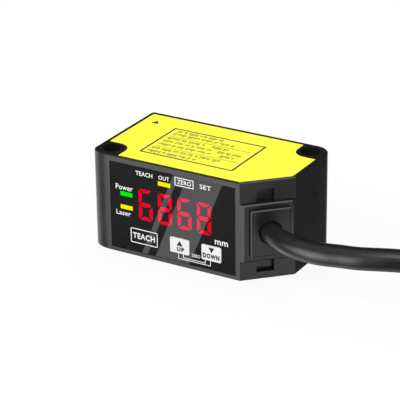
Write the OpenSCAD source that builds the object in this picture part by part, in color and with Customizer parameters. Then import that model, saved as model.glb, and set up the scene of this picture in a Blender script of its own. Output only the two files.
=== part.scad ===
// Compact laser displacement sensor: a moulded body with a four-digit display, three keys,
// triangulation optics and a fixed cable. Lengths are in millimetres.
// X runs along the display. The display faces -Y, the laser leaves at +Y and the label faces +Z.
// The origin is the middle of the base.

/* [Body] */
// Length of the body
body_l = 44; // [39:0.5:60]
// Depth from the display face to the laser face
body_d = 25; // [22.5:0.5:40]
// Height of the body
body_h = 21.75; // [19:0.05:30]
// Leg of the chamfer at the cable corner
chamfer = 8.3; // [7.8:0.1:9]
// Wall at the ends, the laser face and the chamfer
wall = 2; // [1.8:0.1:2.4]
// Wall at the display face
front_wall = 2.8; // [2.6:0.1:3.2]
// Floor under the optics
floor_t = 1.6; // [1.4:0.1:2.4]
// Bevel of the upper edges
top_bevel = 0.2; // [0.1:0.05:0.5]
// Rounding of the lower edges
base_round = 0.2; // [0.2:0.05:0.6]
// Radius of the corner that has no hole and no cable
plain_corner_r = 0.8; // [0.7:0.1:2]
// Length of the rounded corner beside the display, along the display
display_corner_l = 4.5; // [3:0.1:4.5]
// Depth of that corner, along the plain end
display_corner_d = 2.3; // [2:0.1:4]
// Radius of the corner between the laser face and the end with the cable
cable_corner_r = 3.5; // [2:0.1:4]

/* [Mounting holes] */
// Diameter of the two mounting holes
hole_d = 4.2; // [3.2:0.1:4.6]
// Distance of a hole's axis from both outer faces
hole_inset = 3.5; // [3.3:0.1:4]
// Radius of the solid corner round a hole
boss_r = 4.1; // [3.8:0.1:4.6]

/* [Cover and label] */
// Thickness of the cover under the label
cover_t = 1; // [0.8:0.1:1.4]
// Width of the ledge that carries the cover
ledge = 0.8; // [0.5:0.1:0.9]
// Gap round the cover
cover_fit = 0.1; // [0.05:0.05:0.2]
// Thickness of the label film
label_t = 0.2; // [0.1:0.05:0.3]
// Rim of the body outside the label
label_margin = 0.85; // [0.7:0.05:1]
// Shift of the label towards the end with the cable
label_shift_x = 0.1; // [0:0.05:0.2]
// Shift of the label towards the display face
label_shift_y = 0.25; // [0:0.05:0.3]
// Reach of the label's notch from a hole's axis
label_notch_r = 3.1; // [2.6:0.1:3.2]
// Gap round the label
label_fit = 0.1; // [0.05:0.05:0.2]

/* [Display panel] */
// Thickness of the panel
panel_t = 1; // [0.8:0.1:1.2]
// Distance of the panel from the plain end of the body
panel_inset = 4.85; // [4.6:0.05:5.2]
// Distance of the panel from the chamfer
panel_end = 1.05; // [0.8:0.05:1.6]
// Height of the panel's lower edge above the base
panel_base = 1.02; // [0.8:0.01:1.2]
// Depth of the panel's upper edge below the top
panel_drop = 1.33; // [1:0.01:1.6]
// Depth of the panel's face behind the display face
panel_sink = 0.1; // [0.05:0.05:0.2]
// Gap round the panel
panel_fit = 0.05; // [0.05:0.05:0.1]
// Width of the seat behind the panel's edge
panel_seat = 1; // [0.8:0.1:1.2]
// Width of the seat at the plain end
panel_end_seat = 2.1; // [1.8:0.1:2.2]

/* [Keys] */
// Width of the up and down keys
key_w = 4.6; // [4:0.1:5.2]
// Width of the teach key
teach_w = 6.6; // [6:0.1:7.2]
// Height of the keys
key_h = 3.4; // [3:0.1:3.8]
// Corner radius of the keys
key_r = 0.3; // [0.2:0.05:0.6]
// Gap between a key and the panel
key_fit = 0.12; // [0.1:0.01:0.2]
// Travel of a key
key_travel = 0.25; // [0.2:0.05:0.3]
// Flange that keeps a key behind the panel
key_lip = 0.45; // [0.3:0.05:0.6]
// Thickness of that flange
key_lip_t = 0.5; // [0.4:0.05:0.6]
// Gap between the flange and the panel
key_lip_gap = 0.05; // [0.03:0.01:0.1]
// Shift of the evenly spaced keys towards the cable
key_shift = 0.15; // [-0.5:0.05:0.5]
// Middle of the keys above the panel's lower edge
key_z = 3.67; // [3.6:0.01:3.8]

/* [Key switches] */
// Width of a key switch
switch_w = 3.6; // [3:0.1:4]
// Height of a key switch
switch_h = 3; // [2.6:0.1:3.4]
// Thickness of a key switch
switch_t = 1.2; // [1.1:0.05:1.3]
// Diameter of a switch plunger
plunger_d = 1.6; // [1.2:0.1:2]
// Gap round a plunger
plunger_fit = 0.1; // [0.08:0.01:0.15]
// Depth of a plunger inside its switch
plunger_in = 0.5; // [0.4:0.05:0.55]
// Room behind a pressed plunger
plunger_room = 0.15; // [0.1:0.05:0.2]

/* [Digits and lights] */
// Depth from the panel to the display board
display_t = 2.4; // [2.3:0.05:3]
// Room for the lights between the panel's plain end and the digits
digits_left = 6.9; // [6.6:0.05:7.4]
// Room between the digits and the panel's other end
digits_right = 5.56; // [4:0.02:6]
// Room for the keys between the panel's lower edge and the digits
digits_base = 7.63; // [7.5:0.01:8]
// Room for the output light between the digits and the panel's upper edge
digits_drop = 4.87; // [4.5:0.01:5.2]
// Gap between digits
digit_gap = 1.38; // [1:0.02:1.6]
// Width of a segment
segment_w = 0.85; // [0.7:0.05:1.1]
// Gap between segments
segment_gap = 0.2; // [0.15:0.05:0.3]
// Depth of the segments in the display package
segment_t = 0.6; // [0.4:0.1:1]
// Rim of the display package round the digits
display_rim = 0.8; // [0.5:0.1:1]
// Length of a light bar
light_l = 2.9; // [2.6:0.05:3.2]
// Height of a light bar
light_h = 0.9; // [0.7:0.05:1.1]
// Gap round a light bar
light_fit = 0.05; // [0.03:0.01:0.08]
// Middle of the power and laser lights from the panel's plain end
status_x = 3.85; // [3.8:0.01:3.95]
// Middle of the power light above the middle of the digits
power_rise = 1.46; // [1.2:0.02:1.8]
// Middle of the laser light below the middle of the digits
laser_fall = 1.52; // [1.2:0.02:1.8]
// Middle of the output light from the panel's plain end
output_x = 13.07; // [12.8:0.01:13.3]
// Middle of the output light below the panel's upper edge
output_drop = 2.75; // [2.4:0.05:3]
// Length of a light chip
led_l = 1.6; // [1.2:0.1:2]
// Height of a light chip
led_h = 0.8; // [0.6:0.1:0.9]
// Thickness of a light chip
led_t = 0.6; // [0.4:0.1:0.8]

/* [Boards] */
// Thickness of the circuit boards
board_t = 0.8; // [0.6:0.1:1]
// Gap round the circuit boards
board_gap = 0.3; // [0.2:0.05:0.5]
// Length of the header between the boards
header_l = 8; // [6:0.5:12]
// Height of the header between the boards
header_h = 2.4; // [2:0.1:3]
// Distance between the boards
header_t = 2.6; // [2.2:0.1:2.7]
// Side of the processor
chip_l = 7; // [5:0.5:9]
// Thickness of the processor
chip_t = 1; // [0.8:0.1:1.4]

/* [Optics] */
// Distance of the spot that the optics aim at from the laser face
standoff = 30; // [25:1:60]
// Distance of the receiving lens from the end of the bench
lens_inset = 12.2; // [12:0.1:13]
// Gap between the optical bench and the body
bench_gap = 0.2; // [0.1:0.05:0.3]
// Thickness of the bench's base
bench_t = 1.8; // [1.4:0.1:2.4]
// Width of the block that holds the laser
laser_block_w = 6; // [5.8:0.1:6.4]
// Length of the block that holds the laser
laser_block_l = 8; // [7:0.5:9]
// Diameter of the laser barrel
barrel_d = 5; // [4.8:0.05:5.2]
// Length of the laser barrel
barrel_l = 9.5; // [9.2:0.1:11]
// Gap round the barrel and the lenses
optic_fit = 0.05; // [0.02:0.01:0.06]
// Diameter of the laser diode's flange
diode_d = 3.8; // [3.6:0.05:3.9]
// Diameter of the collimating lens
collimator_d = 4; // [3.6:0.1:4.2]
// Diameter of the receiving lens
lens_d = 7; // [6:0.1:7.4]
// Thickness of the receiving lens at its edge
lens_edge = 1; // [0.8:0.1:1.2]
// Wall round the receiving lens
lens_wall = 1.7; // [1.4:0.1:1.9]
// Distance of the receiving lens from the inside of the laser face
lens_back = 4.5; // [4.4:0.1:4.8]
// Gap between the sensor's board and the main board
sensor_gap = 1; // [0.6:0.1:1.6]
// Length of the image sensor
sensor_l = 8; // [7:0.1:8.6]
// Height of the image sensor
sensor_h = 3.2; // [2.6:0.1:4]
// Thickness of the image sensor and of its wall in the bench
sensor_t = 1; // [0.8:0.1:1.2]
// Diameter of a bench screw
screw_d = 1.6; // [1.4:0.1:2]
// Gap round a bench screw
screw_fit = 0.05; // [0.03:0.01:0.1]
// Depth of a bench screw in the floor
screw_in = 1; // [0.8:0.05:1.1]

/* [Laser face] */
// Thickness of the window
window_t = 1.2; // [1:0.05:1.3]
// Distance of the window from the plain end of the body
window_inset = 2; // [1.8:0.1:2.2]
// Distance of the window from the end with the cable
window_end = 10; // [9:0.5:11]
// Distance of the window from the base and from the top
window_margin = 3; // [2.6:0.1:3.2]
// Gap round the window
window_fit = 0.05; // [0.05:0.05:0.1]
// Diameter of the laser's opening behind the window
emitter_d = 4.2; // [3.6:0.1:4.6]
// Side of the receiver's opening behind the window
receiver_l = 9; // [8:0.1:9.6]

/* [Cable corner] */
// Depth of the cable's axis below the middle of the height
gland_drop = 0.09; // [0.05:0.01:0.3]
// Shift of the grommet along the chamfer, towards the end face
gland_shift = 0.25; // [0:0.05:0.4]
// Depth of the raised frame's middle below the middle of the height
frame_drop = 0.18; // [0:0.01:0.3]
// Height of the raised frame round the cable
frame_h = 12.6; // [12.2:0.1:13]
// Rise of the raised frame above the chamfer
frame_rise = 0.75; // [0.6:0.05:1]
// Bevel of the raised frame's face above, below and at the end face
frame_bevel = 0.25; // [0.1:0.05:0.3]
// Width of the grommet
grommet_w = 8.4; // [7.6:0.1:8.5]
// Height of the grommet
grommet_h = 10.2; // [9.6:0.1:10.6]
// Rise of the grommet above the raised frame
grommet_rise = 0.8; // [0.5:0.05:1.2]
// Bevel round the grommet's face
grommet_bevel = 0.2; // [0.1:0.05:0.3]
// Gap round the grommet in the frame
grommet_fit = 0.05; // [0.03:0.01:0.1]
// Depth of the grommet's seat below the chamfer
grommet_seat = 0.6; // [0.5:0.05:0.8]
// Diameter of the grommet's neck through the wall
neck_d = 6.4; // [6:0.1:7]
// Gap round the neck
neck_fit = 0.1; // [0.05:0.05:0.15]
// Reach of the neck inside the wall
neck_out = 0.6; // [0.4:0.1:0.8]
// Diameter of the hole that the cable enters
cable_hole_d = 5.1; // [5:0.05:5.6]
// Width of the snap notches above and below the frame
notch_w = 3.75; // [3:0.05:4.4]
// Height of the snap notches
notch_h = 2.8; // [2:0.1:2.9]
// Depth of the snap notches
notch_depth = 1.1; // [0.6:0.1:1.2]
// Distance of the notches from the middle of the chamfer
notch_shift = -0.5; // [-0.8:0.1:0.8]
// Diameter of a conductor inside the cable
wire_d = 0.9; // [0.7:0.05:1]
// Distance from conductor to conductor
wire_pitch = 1.1; // [1.05:0.05:1.2]

/* [Cable] */
// Diameter of the cable
cable_d = 4.6; // [4.4:0.05:4.8]
// Straight length of the tied hank
hank_run = 56.5; // [45:0.5:80]
// Radius of the innermost fold of the hank
hank_fold_r = 13.8; // [13.8:0.1:16]
// Turns of the hank side by side
hank_columns = 3; // [3:1:4]
// Turns of the hank on top of each other
hank_layers = 3; // [3:1:4]
// Width of a cable tie
tie_w = 4; // [3:0.5:8]
// Thickness of a cable tie
tie_t = 0.6; // [0.5:0.1:0.8]
// Gap between a tie and the hank
tie_fit = 0.1; // [0.05:0.05:0.2]
// Height of a tie's head
tie_head = 3.2; // [2.5:0.1:4]
// Diameter of a lead at the far end
lead_d = 1.2; // [1:0.05:1.25]
// Length of the leads at the far end
lead_l = 40; // [20:1:48]

/* [Hidden] */
$fn = 64;

// Overrun of a cut past the face that it opens
over = 1;
// Steps of a quarter round on the outer skin
skin_steps = 20;
// Sides of the cable
cable_sides = 12;

// Outer faces
left = -body_l / 2;
right = body_l / 2;
front = -body_d / 2;
back = body_d / 2;
// The chamfer lies on the line x - y = chamfer_line
chamfer_line = right - front - chamfer;
root2 = sqrt(2);
axis_z = body_h / 2;

// Levels from the top down
label_z = body_h - label_t;
cover_z = label_z - cover_t;

// Display stack, from the display face inwards
panel_x = left + panel_inset;
panel_y = front + panel_sink;
panel_rear = panel_y + panel_t;
lip_y = panel_rear + key_lip_gap;
lip_rear = lip_y + key_lip_t;
display_board_y = panel_rear + display_t;
switch_y = display_board_y - switch_t;
led_y = display_board_y - led_t;
header_y = display_board_y + board_t;
main_board_y = header_y + header_t;
main_board_rear = main_board_y + board_t;
panel_l = body_l - chamfer - panel_inset - panel_end;
panel_h = body_h - panel_base - panel_drop;
bay_x = panel_x + panel_end_seat;
bay_l = panel_l - panel_end_seat - panel_seat;
bay_z = panel_base + panel_seat;
bay_h = panel_h - 2 * panel_seat;

// Keys, evenly spaced along the bay
teach_lip_w = teach_w + 2 * key_lip;
key_lip_w = key_w + 2 * key_lip;
key_space = (bay_l - teach_lip_w - 2 * key_lip_w) / 4;
teach_x = panel_end_seat + key_space + teach_lip_w / 2 + key_shift;
up_x = teach_x + teach_lip_w / 2 + key_space + key_lip_w / 2;
down_x = up_x + key_lip_w + key_space;

// Digits and lights
digits_l = panel_l - digits_left - digits_right;
digit_h = panel_h - digits_base - digits_drop;
digit_count = 4;
digit_pitch = (digits_l + digit_gap) / digit_count;
digit_w = digit_pitch - digit_gap;
digits_x = digits_left + digits_l / 2;
digits_z = digits_base + digit_h / 2;
power_z = digits_z + power_rise;
laser_z = digits_z - laser_fall;
output_z = panel_h - output_drop;

// Main board, between the hole at the plain end and the cable
main_board_x = left + hole_inset + boss_r + board_gap;
main_board_end = chamfer_line - (wall + neck_out + board_gap) * root2 + main_board_y;

// Optics
inside_back = back - wall;
bench_x = left + wall + bench_gap;
bench_end = right - hole_inset - boss_r - bench_gap;
emitter_x = bench_x + laser_block_w / 2;
lens_x = bench_end - lens_inset;
lens_y = inside_back - lens_back;
// Angle between the laser's axis and the way from the receiving lens to the spot
sight = atan2(lens_x - emitter_x, standoff + back - lens_y);
bench_y = main_board_rear + board_gap;
bench_back = inside_back - bench_gap;
bench_top = floor_t + bench_t;
lens_block_w = lens_d + 2 * lens_wall;
// Distance from the lens to the image sensor, with the sensor's board clear of the main board
sensor_reach = lens_y - main_board_rear - sensor_gap - lens_block_w / 2 * sin(sight);
image_dist = sensor_reach / cos(sight) - sensor_t - board_t;
lens_block_t = 3.2;
lens_shoulder = 0.8;
ring_t = 0.7;
barrel_y = bench_back - barrel_l;
diode_flange_t = 1;
diode_cap_d = 2.7;
diode_cap_t = 1.7;
diode_pin_d = 0.45;
diode_pin_l = 3;
collimator_t = 1.4;
beam_d = 3;
screw_head_d = 3;
screw_head_t = 1;
screw_inset = 2.5;
screw_places = [
    [emitter_x + laser_block_w, bench_back - screw_inset],
    [emitter_x + laser_block_w, bench_y + screw_inset],
    [bench_end - screw_inset, bench_back - screw_inset]
];

// Window on the laser face
window_l = body_l - window_inset - window_end;
window_h = body_h - 2 * window_margin;

// Cable corner
gland_z = axis_z - gland_drop;
frame_mid = axis_z - frame_drop;
frame_z = frame_mid - frame_h / 2;
frame_leg = chamfer - frame_rise * root2;
frame_root = 0.6;
grommet_face = frame_rise + grommet_rise;
wire_count = 5;

// Free cable, from the grommet to the hank
cable_start = [right - chamfer / 2 + gland_shift / root2, front + chamfer / 2 + gland_shift / root2, gland_z];
cable_route = [
    cable_start, [19.2, -9.3, 10.8], [20.8, -10.8, 10.9], [22.9, -12.2, 11.1], [25, -13.1, 11.2],
    [27.3, -13.8, 11.2], [29.6, -14.2, 11.3], [31.9, -14.3, 11.3], [34.3, -14.1, 11.4], [37, -13.6, 11.5],
    [39.6, -13.3, 11.6], [42, -12.9, 11.8], [44.3, -12.4, 12], [46.6, -11.9, 12.2], [49, -11.3, 12.3],
    [52, -10.8, 12.3], [55, -10.4, 12.3], [58.5, -10.3, 12.3], [62, -10.2, 12.2], [67, -10.2, 12.2],
    [72, -10.2, 12.2]
];
route_end = cable_route[len(cable_route) - 1];

// Hank: the free cable ends in its uppermost, outermost turn
hank_z = tie_t + tie_fit;
hank_h = hank_layers * cable_d;
hank_band = hank_columns * cable_d;
hank_outer_r = hank_fold_r - cable_d / 2 + hank_band;
hank_inner_r = hank_outer_r - hank_band;
hank_x = route_end.x;
hank_y = route_end.y + hank_outer_r - cable_d / 2;
entry_z = hank_z + hank_h - cable_d;
cable_fit = 0.2;
lead_places = [[0, 0], [-0.95, -0.95], [-0.95, 0.95], [0.95, -0.95], [0.95, 0.95]];

// Solid through rings of equally many points, each ring right-handed about the way along the loft
module loft(rings) {
    n = len(rings[0]);
    last = len(rings) - 1;
    polyhedron(
        points = [for (ring = rings) each ring],
        faces = [
            [for (j = [0 : n - 1]) j],
            for (i = [0 : last - 1], j = [0 : n - 1])
                [i * n + j, (i + 1) * n + j, (i + 1) * n + (j + 1) % n, i * n + (j + 1) % n],
            [for (j = [n - 1 : -1 : 0]) last * n + j]
        ]
    );
}

// Quarter of an ellipse
function arc(centre, rx, ry, from) =
    [for (k = [0 : skin_steps]) let (a = from + 90 * k / skin_steps) centre + [rx * cos(a), ry * sin(a)]];

// Round corner of the body, drawn in by an inset
function corner(at, r, inset, from) = arc(at, r - inset, r - inset, from);

// Outline of the body, drawn in by an inset
function outline(inset) = concat(
    arc([left + display_corner_l, front + display_corner_d],
        display_corner_l - inset, display_corner_d - inset, 180),
    [[chamfer_line - inset * root2 + front + inset, front + inset]],
    [[right - inset, right - inset - chamfer_line + inset * root2]],
    corner([right - cable_corner_r, back - cable_corner_r], cable_corner_r, inset, 0),
    corner([left + plain_corner_r, back - plain_corner_r], plain_corner_r, inset, 90)
);

// Height and inset of each level of the outer skin
skin_levels = concat(
    [for (a = [0 : 30 : 90]) [base_round * (1 - cos(a)), base_round * (1 - sin(a))]],
    [[body_h - top_bevel, 0], [body_h, top_bevel]]
);

// Drawing in X and Z, carried from y = 0 to y = t
module plate(t) {
    rotate([90, 0, 0])
        translate([0, 0, -t])
            linear_extrude(t) children();
}

module rounded(w, h, r) {
    square([w - 2 * r, h], center = true);
    square([w, h - 2 * r], center = true);
    for (i = [-1, 1], j = [-1, 1])
        translate([i * (w / 2 - r), j * (h / 2 - r)]) circle(r);
}

// Both mounting holes, the second turned half round
module at_holes() {
    for (turn = [0, 180])
        rotate(turn) translate([right - hole_inset, back - hole_inset]) children();
}

// Corner round a hole's axis, out to the faces of the body
module hole_corner(r) {
    reach = hole_inset + over;
    circle(r);
    translate([-r, 0]) square([r + reach, reach]);
    translate([0, -r]) square([reach, r + reach]);
}

// Plan inside the body, drawn in from its faces, without the corners at the holes
module plan(side_inset, front_inset, corner_r) {
    line = chamfer_line - side_inset * root2;
    difference() {
        polygon([
            [left + side_inset, front + front_inset],
            [line + front + front_inset, front + front_inset],
            [right - side_inset, right - side_inset - line],
            [right - side_inset, back - side_inset],
            [left + side_inset, back - side_inset]
        ]);
        at_holes() hole_corner(corner_r);
    }
}

module cover_plan(gap) {
    plan(wall - ledge + gap, front_wall - ledge + gap, boss_r - ledge + gap);
}

module label_plan(gap) {
    translate([label_shift_x, -label_shift_y])
        plan(label_margin - gap, label_margin - gap, label_notch_r - gap);
}

// Frame on the chamfer's middle line: X outwards along the cable, Y along the chamfer
module at_chamfer(z) {
    translate([right - chamfer / 2, front + chamfer / 2, z])
        rotate(-45) children();
}

module at_gland() {
    at_chamfer(gland_z) translate([0, gland_shift, 0]) children();
}

// Frame on the receiving lens: Y looks at the measured spot
module at_lens() {
    translate([lens_x, lens_y, axis_z])
        rotate(sight) children();
}

module at_laser(y) {
    translate([emitter_x, y, axis_z]) rotate([-90, 0, 0]) children();
}

module on_panel(u, v, y) {
    translate([panel_x + u, y, panel_base + v]) children();
}

// Level of the raised frame, its face drawn in and its edge at the end face bevelled
function frame_ring(inset, z) =
    let (leg = frame_leg + inset * root2, b = frame_bevel / root2)
    [
        [right - leg, front, z],
        [right - b, front + leg - b, z], [right, front + leg + frame_bevel, z],
        [right, front + chamfer + frame_root, z], [right - chamfer - frame_root, front, z]
    ];

// Raised frame on the chamfer, flush with the display face and the end face
module cable_frame() {
    top = frame_z + frame_h;
    loft([
        frame_ring(frame_bevel, frame_z), frame_ring(0, frame_z + frame_bevel),
        frame_ring(0, top - frame_bevel), frame_ring(frame_bevel, top)
    ]);
}

module housing_cuts() {
    translate([0, 0, floor_t])
        linear_extrude(body_h) plan(wall, front_wall, boss_r);
    translate([0, 0, cover_z])
        linear_extrude(body_h) cover_plan(0);
    translate([0, 0, label_z])
        linear_extrude(body_h) label_plan(label_fit);
    translate([0, 0, -over])
        at_holes() cylinder(d = hole_d, h = body_h + 2 * over);
    // Recess of the panel, and the bay behind it
    translate([panel_x - panel_fit, front - over, panel_base - panel_fit])
        cube([panel_l + 2 * panel_fit, panel_rear - front + over, panel_h + 2 * panel_fit]);
    translate([bay_x, panel_rear - over, bay_z])
        cube([bay_l, header_y + board_gap - panel_rear + over, bay_h]);
    // Recess of the window, and the openings behind it
    translate([left + window_inset - window_fit, back - window_t, axis_z - window_h / 2 - window_fit])
        cube([window_l + 2 * window_fit, window_t + over, window_h + 2 * window_fit]);
    at_laser(inside_back - over) cylinder(d = emitter_d, h = wall + over);
    translate([lens_x - tan(sight) * lens_back - receiver_l / 2, inside_back - over, axis_z - receiver_l / 2])
        cube([receiver_l, wall + over, receiver_l]);
    // Seat and neck of the grommet, and the snap notches
    at_gland() {
        seat_w = grommet_w + 2 * grommet_fit;
        seat_h = grommet_h + 2 * grommet_fit;
        translate([-grommet_seat, -seat_w / 2, -seat_h / 2])
            cube([grommet_seat + grommet_face + over, seat_w, seat_h]);
        translate([-wall - over, 0, 0])
            rotate([0, 90, 0]) cylinder(d = neck_d + 2 * neck_fit, h = wall + over);
    }
    at_chamfer(frame_mid)
        for (z = [frame_h / 2, -frame_h / 2 - notch_h])
            translate([-notch_depth, notch_shift - notch_w / 2, z])
                cube([notch_depth + over, notch_w, notch_h]);
    for (p = screw_places)
        translate([p.x, p.y, floor_t - screw_in]) cylinder(d = screw_d + 2 * screw_fit, h = screw_in + over);
}

module housing() {
    color("#2c2c2e")
        difference() {
            union() {
                loft([for (level = skin_levels) [for (p = outline(level[1])) [p.x, p.y, level[0]]]]);
                cable_frame();
            }
            housing_cuts();
        }
}

module side_cover() {
    color("#333436")
        translate([0, 0, cover_z]) linear_extrude(cover_t) cover_plan(cover_fit);
}

module side_label() {
    color("#fff145")
        translate([0, 0, label_z]) linear_extrude(label_t) label_plan(0);
}

module display_panel() {
    color("#202022")
        difference() {
            translate([panel_x, panel_y, panel_base]) cube([panel_l, panel_t, panel_h]);
            key_hole(teach_x, teach_w);
            key_hole(up_x, key_w);
            key_hole(down_x, key_w);
            light_slot(status_x, power_z);
            light_slot(status_x, laser_z);
            light_slot(output_x, output_z);
        }
}

module key_hole(u, w) {
    on_panel(u, key_z, panel_y - over)
        plate(panel_t + 2 * over) rounded(w + 2 * key_fit, key_h + 2 * key_fit, key_r + key_fit);
}

module light_slot(u, v) {
    on_panel(u, v, panel_y - over)
        plate(panel_t + 2 * over) square([light_l + 2 * light_fit, light_h + 2 * light_fit], center = true);
}

// Key cap, flush with the display face, and the flange behind the panel
module key(u, w) {
    on_panel(u, key_z, front)
        plate(lip_rear - front) rounded(w, key_h, key_r);
    on_panel(u, key_z, lip_y)
        plate(key_lip_t) rounded(w + 2 * key_lip, key_h + 2 * key_lip, key_r + key_lip);
}

module plunger(u) {
    on_panel(u, key_z, lip_rear)
        plate(switch_y + plunger_in - lip_rear) circle(d = plunger_d);
}

module key_switch(u) {
    on_panel(u, key_z, switch_y)
        difference() {
            plate(switch_t) square([switch_w, switch_h], center = true);
            translate([0, -over, 0])
                plate(over + plunger_in + key_travel + plunger_room) circle(d = plunger_d + 2 * plunger_fit);
        }
}

module teach_key() { color("#222224") key(teach_x, teach_w); }
module up_key() { color("#f0f0f0") key(up_x, key_w); }
module down_key() { color("#f0f0f0") key(down_x, key_w); }
module teach_plunger() { color("#c9b458") plunger(teach_x); }
module up_plunger() { color("#c9b458") plunger(up_x); }
module down_plunger() { color("#c9b458") plunger(down_x); }
module teach_switch() { color("#3a3a3c") key_switch(teach_x); }
module up_switch() { color("#3a3a3c") key_switch(up_x); }
module down_switch() { color("#3a3a3c") key_switch(down_x); }

// Upper half of a digit about its middle: the outer bars meet in mitred corners
module half_digit() {
    w = digit_w / 2;
    h = digit_h / 2;
    t = segment_w;
    g = segment_gap / root2;
    polygon([[g - w, h], [w - g, h], [w - t - g, h - t], [t + g - w, h - t]]);
    for (turn = [0, 1])
        mirror([turn, 0])
            polygon([[w, h - g], [w, g], [w - t / 2, g], [w - t, t / 2 + g], [w - t, h - t - g]]);
}

// Seven bars: two halves and the pointed bar across the middle
module digit() {
    reach = (digit_w - segment_w) / 2 - segment_gap / root2;
    tip = segment_w / 2;
    half_digit();
    mirror([0, 1]) half_digit();
    polygon([
        [-reach, 0], [tip - reach, tip], [reach - tip, tip],
        [reach, 0], [reach - tip, -tip], [tip - reach, -tip]
    ]);
}

module digit_row() {
    for (k = [0 : digit_count - 1])
        translate([(k - (digit_count - 1) / 2) * digit_pitch, 0]) digit();
}

module digit_display() {
    color("#161617")
        on_panel(digits_x, digits_z, panel_rear)
            difference() {
                plate(display_t)
                    square([digits_l + 2 * display_rim, digit_h + 2 * display_rim], center = true);
                translate([0, -over, 0]) plate(over + segment_t) digit_row();
            }
}

module digit_segments() {
    color("#ff1030")
        on_panel(digits_x, digits_z, panel_rear) plate(segment_t) digit_row();
}

module light_bar(u, v) {
    on_panel(u, v, panel_y)
        plate(led_y - panel_y) square([light_l, light_h], center = true);
}

module led(u, v) {
    on_panel(u, v, led_y)
        plate(led_t) square([led_l, led_h], center = true);
}

module power_light() { color("#00e000") light_bar(status_x, power_z); }
module laser_light() { color("#ffe000") light_bar(status_x, laser_z); }
module output_light() { color("#ffe000") light_bar(output_x, output_z); }
module power_led() { color("#e8e4d0") led(status_x, power_z); }
module laser_led() { color("#e8e4d0") led(status_x, laser_z); }
module output_led() { color("#e8e4d0") led(output_x, output_z); }

module display_board() {
    color("#1f5c3a")
        translate([bay_x + board_gap, display_board_y, bay_z + board_gap])
            cube([bay_l - 2 * board_gap, board_t, bay_h - 2 * board_gap]);
}

module board_header() {
    color("#1b1b1c")
        on_panel(digits_x - header_l / 2, key_z - header_h / 2, header_y)
            cube([header_l, header_t, header_h]);
}

module main_board() {
    color("#1f5c3a")
        translate([main_board_x, main_board_y, floor_t + board_gap])
            cube([main_board_end - main_board_x, board_t, cover_z - floor_t - 2 * board_gap]);
}

module processor_chip() {
    color("#19191a")
        on_panel(digits_x - chip_l / 2, digits_z - chip_l / 2, main_board_y - chip_t)
            cube([chip_l, chip_t, chip_l]);
}

// Carrier of the laser and the receiver, screwed to the floor
module optical_bench() {
    block_h = axis_z + lens_block_w / 2 - floor_t;
    sensor_back = image_dist + sensor_t;
    color("#47484b")
        difference() {
            union() {
                translate([bench_x, bench_y, floor_t])
                    cube([bench_end - bench_x, bench_back - bench_y, bench_t]);
                translate([bench_x, bench_back - laser_block_l, floor_t])
                    cube([laser_block_w, laser_block_l, axis_z + laser_block_w / 2 - floor_t]);
                at_lens()
                    translate([-lens_block_w / 2, -lens_block_t / 2, floor_t - axis_z])
                        cube([lens_block_w, lens_block_t, block_h]);
                at_lens()
                    translate([-lens_block_w / 2, -sensor_back, floor_t - axis_z])
                        cube([lens_block_w, sensor_t, block_h]);
            }
            at_laser(bench_y) cylinder(d = barrel_d + 2 * optic_fit, h = body_d);
            // Stepped bore of the receiving lens
            at_lens()
                rotate([90, 0, 0]) cylinder(d = lens_d - 2 * lens_shoulder, h = lens_block_t, center = true);
            at_lens()
                translate([0, lens_shoulder - lens_block_t / 2, 0])
                    rotate([-90, 0, 0]) cylinder(d = lens_d + 2 * optic_fit, h = lens_block_t);
            // Window of the image sensor
            at_lens()
                translate([-sensor_l / 2 - optic_fit, -sensor_back - over, -sensor_h / 2 - optic_fit])
                    cube([sensor_l + 2 * optic_fit, sensor_t + 2 * over, sensor_h + 2 * optic_fit]);
            for (p = screw_places)
                translate([p.x, p.y, floor_t - over])
                    cylinder(d = screw_d + 2 * screw_fit, h = bench_t + 2 * over);
        }
}

module bench_screws() {
    color("#b9bbbf")
        for (p = screw_places)
            translate([p.x, p.y, bench_top]) {
                cylinder(d = screw_head_d, h = screw_head_t);
                translate([0, 0, -bench_t - screw_in]) cylinder(d = screw_d, h = bench_t + screw_in);
            }
}

// Tube with the diode's seat at its rear and the lens's seat at its mouth
module laser_barrel() {
    color("#c7a24a")
        at_laser(barrel_y)
            difference() {
                cylinder(d = barrel_d, h = barrel_l);
                translate([0, 0, -over]) cylinder(d = beam_d, h = barrel_l + 2 * over);
                translate([0, 0, -over]) cylinder(d = diode_d + 2 * optic_fit, h = over + diode_flange_t);
                translate([0, 0, barrel_l - collimator_t])
                    cylinder(d = collimator_d + 2 * optic_fit, h = collimator_t + over);
            }
}

module laser_diode() {
    color("#c9c9cb")
        at_laser(barrel_y) {
            cylinder(d = diode_d, h = diode_flange_t);
            translate([0, 0, diode_flange_t]) cylinder(d = diode_cap_d, h = diode_cap_t);
            for (turn = [0, 120, 240])
                rotate(turn)
                    translate([diode_d / 4, 0, -diode_pin_l]) cylinder(d = diode_pin_d, h = diode_pin_l);
        }
}

// Flat rear face on its seat, domed face outwards
module collimator_lens() {
    dome_r = collimator_d;
    color("#cfe3ea")
        at_laser(barrel_y + barrel_l - collimator_t)
            intersection() {
                cylinder(d = collimator_d, h = collimator_t);
                translate([0, 0, collimator_t - dome_r]) sphere(dome_r);
            }
}

// Two domes on a flat-rimmed disc, which sits on the shoulder of the bench
module receiver_lens() {
    dome_r = lens_d;
    clear_r = lens_d / 2 - lens_shoulder - optic_fit;
    sag = dome_r - sqrt(dome_r * dome_r - clear_r * clear_r);
    color("#cfe3ea")
        at_lens()
            translate([0, lens_shoulder - lens_block_t / 2, 0])
                rotate([-90, 0, 0]) {
                    cylinder(d = lens_d, h = lens_edge);
                    intersection() {
                        translate([0, 0, -lens_edge]) cylinder(r = clear_r, h = 3 * lens_edge);
                        translate([0, 0, dome_r - sag]) sphere(dome_r);
                        translate([0, 0, lens_edge + sag - dome_r]) sphere(dome_r);
                    }
                }
}

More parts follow.
